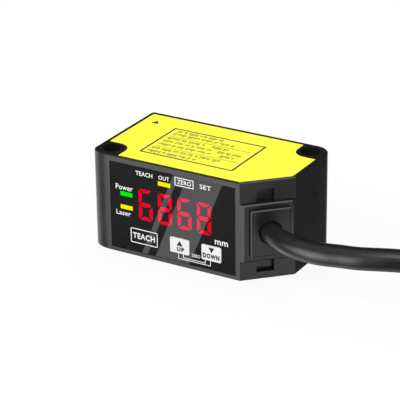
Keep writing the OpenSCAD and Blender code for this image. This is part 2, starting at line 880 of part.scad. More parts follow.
module lens_ring() {
    color("#28282a")
        at_lens()
            translate([0, lens_shoulder - lens_block_t / 2 + lens_edge, 0])
                rotate([-90, 0, 0])
                    difference() {
                        cylinder(d = lens_d, h = ring_t);
                        translate([0, 0, -over]) cylinder(d = lens_d - lens_shoulder, h = ring_t + 2 * over);
                    }
}

module image_sensor() {
    color("#2b2b33")
        at_lens()
            translate([-sensor_l / 2, -image_dist - sensor_t, -sensor_h / 2])
                cube([sensor_l, sensor_t, sensor_h]);
}

module sensor_board() {
    side = lens_block_w - 2 * board_gap;
    color("#1f5c3a")
        at_lens()
            translate([-side / 2, -image_dist - sensor_t - board_t, -side / 2])
                cube([side, board_t, side]);
}

module front_window() {
    color("#1b1416")
        translate([left + window_inset, back - window_t, axis_z - window_h / 2])
            cube([window_l, window_t, window_h]);
}

// Block with a bevelled face, a neck through the wall and the hole that the cable enters
module cable_grommet() {
    depth = grommet_seat + grommet_face;
    b = grommet_bevel;
    color("#303032")
        at_gland()
            difference() {
                union() {
                    intersection() {
                        translate([-grommet_seat, 0, -grommet_h / 2])
                            linear_extrude(grommet_h) bevelled_end(depth, grommet_w, b);
                        translate([-grommet_seat, grommet_w / 2, 0])
                            rotate([90, 0, 0]) linear_extrude(grommet_w) bevelled_end(depth, grommet_h, b);
                    }
                    translate([-wall - neck_out, 0, 0])
                        rotate([0, 90, 0]) cylinder(d = neck_d, h = wall + neck_out);
                }
                rotate([0, 90, 0]) cylinder(d = cable_hole_d, h = grommet_face + over);
            }
}

// Bar along X, w wide, with its far corners bevelled
module bevelled_end(l, w, b) {
    polygon([[0, -w / 2], [l - b, -w / 2], [l, b - w / 2], [l, w / 2 - b], [l - b, w / 2], [0, w / 2]]);
}

// Conductors from the grommet's neck to the face of the main board
module conductors() {
    reach = 2 * wall + body_d;
    color("#b5722f")
        difference() {
            at_gland()
                for (k = [0 : wire_count - 1])
                    translate([-wall - neck_out, 0, (k - (wire_count - 1) / 2) * wire_pitch])
                        rotate([0, -90, 0]) cylinder(d = wire_d, h = reach);
            translate([-body_l, main_board_y, 0]) cube([2 * body_l, 2 * body_d, body_h]);
        }
}

function unit(v) = v / norm(v);

// Way along the route at a point, from its neighbours
function heading(path, i) = unit(path[min(i + 1, len(path) - 1)] - path[max(i - 1, 0)]);

function tube_ring(centre, way, r) =
    let (across = unit(cross(way, [0, 0, 1])), upward = cross(way, across))
    [for (k = [0 : cable_sides - 1])
        centre + r * (cos(360 * k / cable_sides) * across + sin(360 * k / cable_sides) * upward)];

module cable() {
    color("#2a2a2b")
        loft([for (i = [0 : len(cable_route) - 1])
            tube_ring(cable_route[i], heading(cable_route, i), cable_d / 2)]);
}

// Outline with round ends, hank_run long between the middles of its ends
module round_ended(r) {
    translate([0, -r]) square([hank_run, 2 * r]);
    circle(r);
    translate([hank_run, 0]) circle(r);
}

// Outer shape of the turns, with room where the cable comes in and where the leads come out
module cable_hank() {
    color("#2a2a2b")
        translate([hank_x, hank_y, hank_z])
            difference() {
                linear_extrude(hank_h)
                    difference() {
                        round_ended(hank_outer_r);
                        round_ended(hank_inner_r);
                    }
                translate([-hank_outer_r - over, -hank_outer_r - over, entry_z - hank_z - cable_fit])
                    cube([hank_outer_r + over, cable_d + cable_fit + over, cable_d + cable_fit + over]);
                translate([0, hank_inner_r - over, -over])
                    cube([hank_run, cable_d + over, cable_d + over]);
            }
}

// Straps round the two straight bundles of turns
module hank_ties() {
    hole_w = hank_band + 2 * tie_fit;
    hole_h = hank_h + 2 * tie_fit;
    middle_r = (hank_outer_r + hank_inner_r) / 2;
    color("#151516")
        for (side = [-1, 1])
            translate([hank_x + (hank_run - tie_w) / 2, hank_y + side * middle_r, hank_z + hank_h / 2])
                rotate([90, 0, 90]) {
                    linear_extrude(tie_w)
                        difference() {
                            rounded(hole_w + 2 * tie_t, hole_h + 2 * tie_t, tie_t);
                            square([hole_w, hole_h], center = true);
                        }
                    translate([0, hole_h / 2 + (tie_t + tie_head) / 2, -tie_t])
                        linear_extrude(tie_w + 2 * tie_t)
                            rounded(tie_w + 2 * tie_t, tie_head + tie_t, tie_t / 2);
                }
}

module lead_wires() {
    color("#8a4b22")
        for (p = lead_places)
            translate([hank_x + hank_run, hank_y + hank_fold_r + p.x, hank_z + cable_d / 2 + p.y])
                rotate([0, -90, 0]) cylinder(d = lead_d, h = lead_l);
}

housing();
side_cover();
side_label();
display_panel();
teach_key();
up_key();
down_key();
teach_plunger();
up_plunger();
down_plunger();
teach_switch();
up_switch();
down_switch();
digit_display();
digit_segments();
power_light();
laser_light();
output_light();
power_led();
laser_led();
output_led();
display_board();
board_header();
main_board();
processor_chip();
optical_bench();
bench_screws();
laser_barrel();
laser_diode();
collimator_lens();
receiver_lens();
lens_ring();
image_sensor();
sensor_board();
front_window();
cable_grommet();
conductors();
cable();
cable_hank();
hank_ties();
lead_wires();
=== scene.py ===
import bpy
import numpy as np
from mathutils import Matrix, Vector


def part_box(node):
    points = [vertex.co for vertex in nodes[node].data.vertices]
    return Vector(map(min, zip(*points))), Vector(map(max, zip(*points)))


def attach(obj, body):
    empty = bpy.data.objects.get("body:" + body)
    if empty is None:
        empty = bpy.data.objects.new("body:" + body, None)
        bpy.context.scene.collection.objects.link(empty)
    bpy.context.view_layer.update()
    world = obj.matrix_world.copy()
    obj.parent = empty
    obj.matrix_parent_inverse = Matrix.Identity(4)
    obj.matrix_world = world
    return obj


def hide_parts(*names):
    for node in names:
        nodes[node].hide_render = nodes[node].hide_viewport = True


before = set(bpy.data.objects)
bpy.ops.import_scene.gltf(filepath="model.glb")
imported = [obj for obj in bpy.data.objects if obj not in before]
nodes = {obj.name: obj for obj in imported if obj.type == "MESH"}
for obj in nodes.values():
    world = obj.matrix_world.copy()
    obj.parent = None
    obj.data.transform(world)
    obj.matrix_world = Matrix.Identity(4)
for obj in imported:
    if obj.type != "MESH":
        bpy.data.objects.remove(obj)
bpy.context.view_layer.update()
mm = 0.001
head = "sensor_head"
print("frame loaded:", len(nodes), "nodes")


# camera, placed by its turn and rise round a point above the middle of the body
viewpoint = {
    "turn": 30.731, "rise": 23.956, "roll": -0.74,  # degrees
    "aimHeight": 10.15, "away": 415.33, "right": 2.52, "up": -0.144,  # mm
    "lens": 178.385, "sensor": 36.0, "clip": (10.0, 20000.0),
}


# rows are right, up and back: back from turn and rise, then right and up turned by the roll
def viewAxes(place):
    turn, rise, roll = np.radians([place["turn"], place["rise"], place["roll"]])
    back = np.array([np.sin(turn) * np.cos(rise), -np.cos(turn) * np.cos(rise), np.sin(rise)])
    right = np.cross(-back, [0.0, 0.0, 1.0])
    right /= np.linalg.norm(right)
    up = np.cross(right, -back)
    return np.array([
        np.cos(roll) * right + np.sin(roll) * up,
        np.cos(roll) * up - np.sin(roll) * right,
        back,
    ])


def placeCamera(place):
    axes = viewAxes(place)
    aim = np.array([0.0, 0.0, place["aimHeight"]])
    eye = aim - place["right"] * axes[0] - place["up"] * axes[1] + place["away"] * axes[2]
    lens = bpy.data.cameras.new("photoCamera")
    lens.lens = place["lens"]
    lens.sensor_width = place["sensor"]
    lens.clip_start, lens.clip_end = (distance * mm for distance in place["clip"])
    camera = bpy.data.objects.new("photoCamera", lens)
    bpy.context.scene.collection.objects.link(camera)
    pose = np.eye(4)
    pose[:3, :3] = axes.T
    pose[:3, 3] = eye * mm
    camera.matrix_world = Matrix(pose.tolist())
    bpy.context.scene.camera = camera
    return eye


eye = placeCamera(viewpoint)
print("camera at", np.round(eye, 1))


# meshes: a part is (points, faces), with points in mm
def joined(parts):
    points, faces, start = [], [], 0
    for partPoints, partFaces in parts:
        points.append(partPoints)
        faces += [tuple(np.asarray(face) + start) for face in partFaces]
        start += len(partPoints)
    return np.concatenate(points), faces


def addPiece(name, parts, body, smooth=False):
    points, faces = joined(parts)
    mesh = bpy.data.meshes.new(name)
    mesh.from_pydata((points * mm).tolist(), [], [list(map(int, face)) for face in faces])
    mesh.update()
    mesh.polygons.foreach_set("use_smooth", np.full(len(mesh.polygons), smooth))
    piece = bpy.data.objects.new(name, mesh)
    bpy.context.scene.collection.objects.link(piece)
    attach(piece, body)
    return piece


# quads of a grid of rows by columns, wrapped round where asked
def gridFaces(rows, columns, wrapRows=False, wrapColumns=False):
    r = np.arange(rows if wrapRows else rows - 1)[:, None]
    c = np.arange(columns if wrapColumns else columns - 1)[None, :]
    nextR, nextC = (r + 1) % rows, (c + 1) % columns
    corners = [r * columns + c, r * columns + nextC, nextR * columns + nextC, nextR * columns + c]
    return np.stack([np.broadcast_to(k, (r.size, c.size)) for k in corners], -1).reshape(-1, 4)


# tube: at each path point a circle across the tangent, side = tangent x up, with a disc on each end
def tubePart(path, radius, sides):
    along = np.gradient(path, axis=0)
    along /= np.linalg.norm(along, axis=1, keepdims=True)
    side = np.cross(along, [0.0, 0.0, 1.0])
    side /= np.linalg.norm(side, axis=1, keepdims=True)
    up = np.cross(side, along)
    angle = np.linspace(0, 2 * np.pi, sides, endpoint=False)
    ring = np.cos(angle)[None, :, None] * side[:, None] + np.sin(angle)[None, :, None] * up[:, None]
    points = (path[:, None] + radius * ring).reshape(-1, 3)
    faces = list(gridFaces(len(path), sides, wrapColumns=True))
    last = (len(path) - 1) * sides
    return points, faces + [np.arange(sides)[::-1], last + np.arange(sides)]


# smooth curve: a cubic through the points by distance, with set directions at both ends
def smoothCurve(points, startAim, endAim, count):
    gap = np.linalg.norm(np.diff(points, axis=0), axis=1)
    knots = np.concatenate([[0], np.cumsum(gap)])
    size = len(points)
    system, target = np.eye(size), np.zeros((size, 3))
    inner = np.arange(1, size - 1)
    before, after = gap[:-1], gap[1:]
    system[inner, inner - 1] = after
    system[inner, inner] = 2 * (before + after)
    system[inner, inner + 1] = before
    slope = np.diff(points, axis=0) / gap[:, None]
    target[inner] = 3 * (after[:, None] * slope[:-1] + before[:, None] * slope[1:])
    target[0], target[-1] = startAim, endAim
    speed = np.linalg.solve(system, target)
    where = np.linspace(0, knots[-1], count)
    k = np.clip(np.searchsorted(knots, where, side="right") - 1, 0, size - 2)
    t = ((where - knots[k]) / gap[k])[:, None]
    h = gap[k][:, None]
    return ((2 * t**3 - 3 * t**2 + 1) * points[k] + (t**3 - 2 * t**2 + t) * h * speed[k]
            + (3 * t**2 - 2 * t**3) * points[k + 1] + (t**3 - t**2) * h * speed[k + 1])


# the same path with points at an even distance
def evenPath(path, step):
    run = np.concatenate([[0], np.cumsum(np.linalg.norm(np.diff(path, axis=0), axis=1))])
    where = np.linspace(0, run[-1], int(round(run[-1] / step)) + 1)
    return np.stack([np.interp(where, run, path[:, k]) for k in range(3)], 1), run[-1]


# cable: the free length, then eight and a half turns folded into a hank
cable = {
    "diameter": 4.6, "sides": 24, "step": 1.2, "freeSteps": 120, "foldSteps": 72,
    "route": [
        (18.027, -8.173, 10.785), (19.2, -9.3, 10.8), (20.8, -10.8, 10.9), (22.9, -12.2, 11.1),
        (25, -13.1, 11.2), (27.3, -13.8, 11.2), (29.6, -14.2, 11.3), (31.9, -14.3, 11.3),
        (34.3, -14.1, 11.4), (37, -13.6, 11.5), (39.6, -13.3, 11.6), (42, -12.9, 11.8),
        (44.3, -12.4, 12), (46.6, -11.9, 12.2), (49, -11.3, 12.3), (52, -10.8, 12.3),
        (55, -10.4, 12.3), (58.5, -10.3, 12.3), (62, -10.2, 12.2), (67, -10.2, 12.2), (72, -10.2, 12.2),
    ],
    "aims": [(np.sqrt(0.5), -np.sqrt(0.5), 0), (1, 0, 0)],  # directions at the route's two ends
    "hankStart": (72.0, 12.8), "run": 56.5,
    # each turn's fold radius and height at its start and end, and the part of its left fold where they change
    "turns": [
        ((23, 12.2), (18.4, 12.2), (0.42, 1.0)), ((18.4, 12.2), (13.8, 12.2), (0.42, 1.0)),
        ((13.8, 12.2), (13.8, 7.6), (0.32, 0.9)), ((13.8, 7.6), (18.4, 7.6), (0.21, 0.79)),
        ((18.4, 7.6), (23, 7.6), (0.21, 0.79)), ((23, 7.6), (23, 3), (0.1, 0.68)),
        ((23, 3), (18.4, 3), (0.0, 0.58)), ((18.4, 3), (13.8, 3), (0.0, 0.58)),
    ],
}


# right fold: a half circle at the end of the run
def rightFold(radius, height, run, steps):
    turn = np.linspace(-np.pi / 2, np.pi / 2, steps)
    return np.stack([run + radius * np.cos(turn), radius * np.sin(turn), np.full(steps, height)], 1)


# one turn: near run, right fold, far run, left fold, whose radius and height ease to the next turn's
def hankTurn(start, end, window, run, steps):
    (r0, z0), (r1, z1) = start, end
    share = np.linspace(0, 1, steps)
    ease = np.clip((share - window[0]) / (window[1] - window[0]), 0, 1)
    ease = ease * ease * (3 - 2 * ease)
    angle = np.pi / 2 + np.pi * share
    reach = r0 + (r1 - r0) * ease
    left = np.stack([reach * np.cos(angle), reach * np.sin(angle), z0 + (z1 - z0) * ease], 1)
    return np.concatenate([rightFold(r0, z0, run, steps), left])


def cablePath(cable):
    fold = cable["run"], cable["foldSteps"]
    free = smoothCurve(np.array(cable["route"], float), *cable["aims"], cable["freeSteps"])
    turns = [hankTurn(*turn, *fold) for turn in cable["turns"]]
    turns.append(rightFold(*cable["turns"][-1][1], *fold))
    hank = np.concatenate(turns) + np.array([*cable["hankStart"], 0.0])
    return evenPath(np.concatenate([free, hank]), cable["step"])


sheathPath, sheathLength = cablePath(cable)
sheathTube = tubePart(sheathPath, cable["diameter"] / 2, cable["sides"])
sheath = addPiece("cableSheath", [sheathTube], head, smooth=True)
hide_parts("cable", "cable_hank")
print("cable", round(sheathLength, 1), "mm,", len(sheathPath), "points")


# leads at the cable's far end: five cores in a ring, each with its stripped tip
leads = {
    "diameter": 1.2, "length": 40.0, "bare": 6.0, "core": 0.7, "overlap": 1.0, "sides": 12, "steps": 60,
    "wander": 0.12, "wave": 5,  # how far a lead strays in mm, and the angle of its wave from end to end
    "colours": [
        (0.15, 0.05, 0.018), (0.75, 0.75, 0.73), (0.02, 0.07, 0.4), (0.014, 0.014, 0.015), (0.22, 0.22, 0.23),
    ],
}


def leadPaths(leads):
    low, high = (np.array(corner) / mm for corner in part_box("lead_wires"))
    centre = (low + high) / 2
    spread = (high - low)[1] / 2 - leads["diameter"] / 2
    along = np.linspace(0, leads["length"], leads["steps"])
    count = len(leads["colours"])
    paths = []
    for k in range(count):
        angle = np.pi / 2 + 2 * np.pi * k / count
        wave = leads["wander"] * np.sin(along / leads["length"] * leads["wave"] + k)
        paths.append(np.stack([
            high[0] - along,
            centre[1] + spread * np.cos(angle) + wave,
            centre[2] + spread * np.sin(angle) + 0 * along,
        ], 1))
    return paths


def addLeads(leads):
    insulation, cores = [], []
    for path in leadPaths(leads):
        strip = path[-1, 0] + leads["bare"]
        covered, stripped = path[path[:, 0] >= strip], path[path[:, 0] < strip + leads["overlap"]]
        insulation.append(tubePart(covered, leads["diameter"] / 2, leads["sides"]))
        cores.append(tubePart(stripped, leads["core"] / 2, leads["sides"]))
    covers = addPiece("leadInsulation", insulation, head, smooth=True)
    sizes = [len(faces) for _, faces in insulation]
    which = np.repeat((np.arange(len(sizes)) + 0.5) / len(sizes), sizes)
    covers.data.attributes.new("lead", "FLOAT", "FACE").data.foreach_set("value", which.astype(np.float32))
    return covers, addPiece("leadCores", cores, head, smooth=True)


leadInsulation, leadCores = addLeads(leads)
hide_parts("lead_wires")
print("leads:", len(leads["colours"]))


# flat work on a face: a point is x along u, y along v and h out along n
panelLow, panelHigh = (np.array(corner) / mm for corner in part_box("display_panel"))
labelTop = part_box("side_label")[1][2] / mm
panelFace = {"origin": panelLow, "u": np.array([1.0, 0, 0]), "v": np.array([0, 0, 1.0]),
             "n": np.array([0, -1.0, 0])}
labelFace = {"origin": np.array([0, 0, labelTop]), "u": np.array([1.0, 0, 0]), "v": np.array([0, 1.0, 0]),
             "n": np.array([0, 0, 1.0])}


# a key's front, still measured from the panel's corner
def keyFace(node):
    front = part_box(node)[0][1] / mm
    return dict(panelFace, origin=np.array([panelLow[0], front, panelLow[2]]))


def onFace(flat, height, face):
    flat = np.asarray(flat, float)
    return (face["origin"] + flat[:, :1] * face["u"] + flat[:, 1:2] * face["v"]
            + np.broadcast_to(np.asarray(height, float), (len(flat),))[:, None] * face["n"])


# prism: a convex outline, counterclockwise on its face, from one height to another
def prismPart(outline, low, high, face):
    outline = np.asarray(outline, float)
    count = len(outline)
    points = np.concatenate([onFace(outline, low, face), onFace(outline, high, face)])
    ring = np.arange(count)
    sides = np.stack([ring, (ring + 1) % count, (ring + 1) % count + count, ring + count], 1)
    return points, list(sides) + [ring[::-1], ring + count]


# band: the strip between an outer and an inner line, closed round or with square ends
def bandPart(outer, inner, low, high, face, closed=True):
    loops = [(outer, low), (outer, high), (inner, high), (inner, low)]
    points = np.stack([onFace(line, height, face) for line, height in loops], 1).reshape(-1, 3)
    faces = [f[::-1] for f in gridFaces(len(outer), 4, wrapRows=closed, wrapColumns=True)]
    if not closed:
        last = (len(outer) - 1) * 4
        faces += [np.arange(4), last + np.arange(4)[::-1]]
    return points, faces


def rectangle(x0, x1, y0, y1):
    return np.array([(x0, y0), (x1, y0), (x1, y1), (x0, y1)], float)


# a rectangle whose corners are quarter circles of one radius
def roundedBox(x0, x1, y0, y1, radius, steps=6):
    turn = np.linspace(0, np.pi / 2, steps)
    quarters = []
    for k, (x, y) in enumerate([(x1 - radius, y1 - radius), (x0 + radius, y1 - radius),
                                (x0 + radius, y0 + radius), (x1 - radius, y0 + radius)]):
        angle = turn + k * np.pi / 2
        quarters.append(np.stack([x + radius * np.cos(angle), y + radius * np.sin(angle)], 1))
    return np.concatenate(quarters)


# a line of even width round a box, with rounded corners where a radius is given
def frameBand(x0, x1, y0, y1, line, low, high, face, radius=0.0):
    outside, inside = (x0, x1, y0, y1), (x0 + line, x1 - line, y0 + line, y1 - line)
    if radius > line:
        lines = roundedBox(*outside, radius), roundedBox(*inside, radius - line)
    else:
        lines = rectangle(*outside), rectangle(*inside)
    return bandPart(*lines, low, high, face)


# lettering: the built-in letters as a solid, stretched to a box on a face; heavy ones are set further apart
lettering = {"thick": 0.5, "apart": 3.5, "curveSteps": 3}


def letterPart(words, box, low, high, face, weight=0.0):
    curve = bpy.data.curves.new("letters", "FONT")
    curve.body = words
    curve.extrude = lettering["thick"]
    curve.offset = weight
    curve.space_character = 1.0 + lettering["apart"] * weight
    curve.resolution_u = lettering["curveSteps"]
    holder = bpy.data.objects.new("letters", curve)
    bpy.context.scene.collection.objects.link(holder)
    bpy.context.view_layer.update()
    mesh = bpy.data.meshes.new_from_object(holder)
    bpy.data.objects.remove(holder)
    points = np.zeros(len(mesh.vertices) * 3)
    mesh.vertices.foreach_get("co", points)
    points = points.reshape(-1, 3)
    corners = np.zeros(len(mesh.loops), int)
    mesh.loops.foreach_get("vertex_index", corners)
    counts = np.zeros(len(mesh.polygons), int)
    mesh.polygons.foreach_get("loop_total", counts)
    faces = np.split(corners, np.cumsum(counts)[:-1])
    bpy.data.meshes.remove(mesh)
    bpy.data.curves.remove(curve)
    least, most = points.min(0), points.max(0)
    x0, x1, y0, y1 = box
    flat = np.stack([
        x0 + (points[:, 0] - least[0]) / (most[0] - least[0]) * (x1 - x0),
        y0 + (points[:, 1] - least[1]) / (most[1] - least[1]) * (y1 - y0),
    ], 1)
    height = low + (points[:, 2] - least[2]) / (most[2] - least[2]) * (high - low)
    return onFace(flat, height, face), faces


# panel legends, in mm from the panel's lower left corner
legends = {
    "ink": (0.0, 0.012),
    "words": [  # with the box that they fill and how far their outline is drawn out
        ("TEACH", (6.28, 10.32, 17.46, 18.42), 0.008), ("OUT", (11.76, 14.35, 17.58, 18.46), 0.008),
        ("ZERO", (16.25, 19.55, 17.55, 18.5), 0.008), ("SET", (21.55, 24.2, 17.55, 18.55), 0.008),
        ("Power", (1.33, 5.45, 13.4, 14.58), 0.008), ("Laser", (1.3, 4.82, 7.66, 8.72), 0.008),
        ("mm", (24.98, 28.05, 5.96, 6.95), 0.01), ("ZERO", (19.46, 21.45, 1.85, 2.58), 0.005),
    ],
    "zeroFrame": (15.65, 20.1, 17.08, 18.96), "zeroLine": 0.18,
    "bracket": [  # outer and inner lines of the two brackets that join the keys
        ((16.2, 1.85), (16.2, 0.69), (23.97, 0.69), (23.97, 1.88)),
        ((17.38, 1.87), (17.38, 1.09), (22.75, 1.09), (22.75, 1.89)),
    ],
    "bracketLine": 0.14,
}


# an open bracket: each line and the same line moved in by its width
def bracketPart(line, width, low, high, face):
    line = np.array(line, float)
    inside = line + np.array([(width, 0), (width, width), (-width, width), (-width, 0)])
    return bandPart(line, inside, low, high, face, closed=False)


def addLegends(legends):
    low, high = legends["ink"]
    parts = [letterPart(words, box, low, high, panelFace, weight) for words, box, weight in legends["words"]]
    parts.append(frameBand(*legends["zeroFrame"], legends["zeroLine"], low, high, panelFace))
    parts += [bracketPart(line, legends["bracketLine"], low, high, panelFace) for line in legends["bracket"]]
    return addPiece("panelLegends", parts, head)


panelLegends = addLegends(legends)

# marks on the keys, measured on the panel too
keyMarks = {
    "ink": (0.0, 0.012), "weight": 0.06,
    "teachFrame": (4.77, 11.33, 1.99, 5.35), "teachLine": 0.19, "teachRound": 0.3,
    "teachWords": (5.3, 10.65, 3.05, 4.37), "teachWeight": 0.017,
    "upArrow": [(15.9, 3.66), (17.36, 3.66), (16.63, 4.84)], "upWords": (15.95, 17.7, 2.43, 3.4),
    "downArrow": [(23.48, 4.92), (24.19, 3.76), (24.9, 4.92)], "downWords": (22.15, 26.1, 2.4, 3.53),
}


def addKeyMarks(marks):
    low, high = marks["ink"]
    face = keyFace("teach_key")
    teach = addPiece("teachMarks", [
        frameBand(*marks["teachFrame"], marks["teachLine"], low, high, face, marks["teachRound"]),
        letterPart("TEACH", marks["teachWords"], low, high, face, marks["teachWeight"]),
    ], "teach_button")
    face = keyFace("up_key")
    up = addPiece("upMarks", [
        prismPart(marks["upArrow"], low, high, face),
        letterPart("UP", marks["upWords"], low, high, face, marks["weight"]),
    ], "up_button")
    face = keyFace("down_key")
    down = addPiece("downMarks", [
        prismPart(marks["downArrow"], low, high, face),
        letterPart("DOWN", marks["downWords"], low, high, face, marks["weight"]),
    ], "down_button")
    return teach, up, down


teachMarks, upMarks, downMarks = addKeyMarks(keyMarks)

# lit digits on the panel's face
digits = {
    "left": [6.9, 11.55, 16.22, 20.83], "foot": 7.63, "width": 3.3, "height": 6.9, "ink": (0.0, 0.01),
    "bar": 0.76, "middleBar": 0.92, "blunt": 0.3,  # thickness, and how blunt the middle bar's end is
    "gap": 0.4, "split": 0.2,  # between bars, and from the middle line to the side bars
    "shown": "6868", "bars": {"6": "acdefg", "8": "abcdefg"},
}


# the seven bars round a digit's middle: outer ones with mitred ends, the middle one pointed and blunt
def digitBars(digits):
    w, h, t = digits["width"] / 2, digits["height"] / 2, digits["bar"]
    g = digits["gap"] / np.sqrt(2)
    flipX, flipY = np.array([-1.0, 1.0]), np.array([1.0, -1.0])
    top = np.array([(g - w, h), (t + g - w, h - t), (w - t - g, h - t), (w - g, h)])
    side = np.array([(w, h - g), (w - t, h - t - g), (w - t, t + digits["split"]), (w, digits["split"])])
    point, reach, tip = w - t / 3, w - t / 2 - g / 3, digits["middleBar"] / 2
    nose = digits["blunt"] * tip
    slope = tip - nose
    middle = np.array([
        (tip - point, -tip), (reach - slope, -tip), (reach, -nose), (reach, nose), (reach - slope, tip),
        (tip - point, tip), (-point, 0),
    ])
    return {
        "a": top, "d": (top * flipY)[::-1], "b": side, "c": (side * flipY)[::-1],
        "f": (side * flipX)[::-1], "e": side * flipX * flipY, "g": middle,
    }


def addDigits(digits):
    bars = digitBars(digits)
    parts = []
    for left, shown in zip(digits["left"], digits["shown"]):
        middle = np.array([left + digits["width"] / 2, digits["foot"] + digits["height"] / 2])
        parts += [prismPart(bars[bar] + middle, *digits["ink"], panelFace) for bar in digits["bars"][shown]]
    return addPiece("litDigits", parts, head)


litDigits = addDigits(digits)
print("panel print and digits done")

# print on the label, in mm from the middle of the body
labelPrint = {
    "ink": (0.0, 0.01), "frame": (-12.75, 9.42, -7.92, 6.62), "line": 0.42,
    "rules": [(-11.5, 8.1, 2.29), (-11.3, 8.1, -3.66)], "ruleWidth": 0.14,
    "rows": [  # height of the row's middle and where its words start and end
        (5.09, [(-11.2, -0.35)]), (3.49, [(-11.3, 3.4)]), (1.09, [(-11.35, -2.05), (-0.55, 3.45)]),
        (-0.61, [(-11.25, 0.15), (1.75, 7.2)]), (-2.36, [(-11.25, 1.05), (3.35, 6.55)]),
        (-4.81, [(-11.6, 4.65)]), (-6.51, [(-11.6, -0.3)]),
    ],
    "stroke": 0.2, "pitch": 0.4, "tall": 1.2, "heights": [0.62, 0.8, 1.0], "wordLength": (3, 9), "seed": 11,
    "arrow": [(-18.95, 6.84), (-17.25, 6.84), (-18.1, 8.32)],
}


# rows of short upright strokes with word gaps, which read as small print from a distance
def strokeParts(labelPrint, face):
    rng = np.random.default_rng(labelPrint["seed"])
    parts = []
    for middle, spans in labelPrint["rows"]:
        for start, end in spans:
            at = np.arange(start, end, labelPrint["pitch"])
            word = rng.integers(*labelPrint["wordLength"], len(at)).cumsum()
            keep = ~np.isin(np.arange(len(at)), word)
            tall = labelPrint["tall"] * rng.choice(labelPrint["heights"], len(at))
            for x, high in zip(at[keep], tall[keep]):
                foot = middle + labelPrint["tall"] / 2
                box = rectangle(x, x + labelPrint["stroke"], foot - high, foot)
                parts.append(prismPart(box, *labelPrint["ink"], face))
    return parts


def addLabelPrint(labelPrint):
    low, high = labelPrint["ink"]
    lines = [frameBand(*labelPrint["frame"], labelPrint["line"], low, high, labelFace),
             prismPart(labelPrint["arrow"], low, high, labelFace)]
    half = labelPrint["ruleWidth"] / 2
    rules = [rectangle(x0, x1, y - half, y + half) for x0, x1, y in labelPrint["rules"]]
    fine = [prismPart(rule, low, high, labelFace) for rule in rules]
    return (addPiece("labelLines", lines, head),
            addPiece("labelRows", fine + strokeParts(labelPrint, labelFace), head))


labelLines, labelRows = addLabelPrint(labelPrint)
print("label print done")


# materials
noiseSpan = 0.3, 0.7  # between these lie most values of a noise


def newMaterial(name):
    material = bpy.data.materials.new(name)
    material.use_nodes = True
    tree = material.node_tree
    return material, tree, tree.nodes["Principled BSDF"]


def noiseNode(tree, size, detail=2.0):
    noise = tree.nodes.new("ShaderNodeTexNoise")
    noise.inputs["Scale"].default_value = 1.0 / (size * mm)
    noise.inputs["Detail"].default_value = detail
    place = tree.nodes.new("ShaderNodeTexCoord")
    tree.links.new(place.outputs["Object"], noise.inputs["Vector"])
    return noise.outputs["Fac"]


def ramp(tree, source, places, colours, kind="LINEAR"):
    node = tree.nodes.new("ShaderNodeValToRGB")
    node.color_ramp.interpolation = kind
    elements = node.color_ramp.elements
    while len(elements) < len(colours):
        elements.new(0.5)
    for k, (place, colour) in enumerate(zip(places, colours)):
        elements[k].position = place
        elements[k].color = (*colour, 1.0)
    tree.links.new(source, node.inputs["Fac"])
    return node.outputs["Color"]


def spread(tree, source, low, high):
    node = tree.nodes.new("ShaderNodeMapRange")
    for name, value in zip(("From Min", "From Max", "To Min", "To Max"), (*noiseSpan, low, high)):
        node.inputs[name].default_value = value
    tree.links.new(source, node.inputs["Value"])
    return node.outputs["Result"]


def bump(tree, shader, source, depth):
    node = tree.nodes.new("ShaderNodeBump")
    node.inputs["Strength"].default_value = 1.0
    node.inputs["Distance"].default_value = depth * mm
    tree.links.new(source, node.inputs["Height"])
    tree.links.new(node.outputs["Normal"], shader.inputs["Normal"])


# a moulded or printed finish: colour and roughness vary in soft patches, and a fine grain lifts the surface
# (patch, grain and depth in mm)
def mouldedFinish(name, colour, vary, rough, patch, grain, depth, specular=0.5, metal=0.0):
    material, tree, shader = newMaterial(name)
    soft = noiseNode(tree, patch, 3.0)
    fine = noiseNode(tree, grain)
    colour = np.array(colour)
    tones = colour * (1 - vary), np.minimum(colour * (1 + vary), 1)
    tree.links.new(ramp(tree, soft, noiseSpan, tones), shader.inputs["Base Color"])
    tree.links.new(spread(tree, soft, *rough), shader.inputs["Roughness"])
    shader.inputs["Specular IOR Level"].default_value = specular
    shader.inputs["Metallic"].default_value = metal
    bump(tree, shader, fine, depth)
    return material


# a lit finish glows with its colour, which dims a little in patches, over a dark body of that colour
def litFinish(name, colour, specular=0.5, tint=(1.0, 1.0, 1.0), patch=2.0, dim=0.97, body=0.05, rough=0.02):
    material, tree, shader = newMaterial(name)
    colour = np.array(colour)
    glow = ramp(tree, noiseNode(tree, patch), noiseSpan, (colour * dim, colour))
    tree.links.new(glow, shader.inputs["Emission Color"])
    shader.inputs["Base Color"].default_value = (*(colour * body), 1)
    shader.inputs["Emission Strength"].default_value = 1.0
    shader.inputs["Roughness"].default_value = rough
    shader.inputs["Specular IOR Level"].default_value = specular
    shader.inputs["Specular Tint"].default_value = (*tint, 1)
    return material


# a polished finish, smooth, with its colour a little darker in patches
def glassFinish(name, colour, rough, patch=6.0, dim=0.9):
    material, tree, shader = newMaterial(name)
    colour = np.array(colour)
    tone = ramp(tree, noiseNode(tree, patch), noiseSpan, (colour * dim, colour))
    tree.links.new(tone, shader.inputs["Base Color"])
    shader.inputs["Roughness"].default_value = rough
    return material


# insulation in one colour a lead, taken from the piece's lead number
def leadFinish(name, colours, rough=(0.35, 0.45), patch=2.0, grain=0.15, depth=0.002):
    material, tree, shader = newMaterial(name)
    number = tree.nodes.new("ShaderNodeAttribute")
    number.attribute_name = "lead"
    places = np.arange(len(colours)) / len(colours)
    tone = ramp(tree, number.outputs["Fac"], places, colours, "CONSTANT")
    tree.links.new(tone, shader.inputs["Base Color"])
    tree.links.new(spread(tree, noiseNode(tree, patch), *rough), shader.inputs["Roughness"])
    bump(tree, shader, noiseNode(tree, grain), depth)
    return material


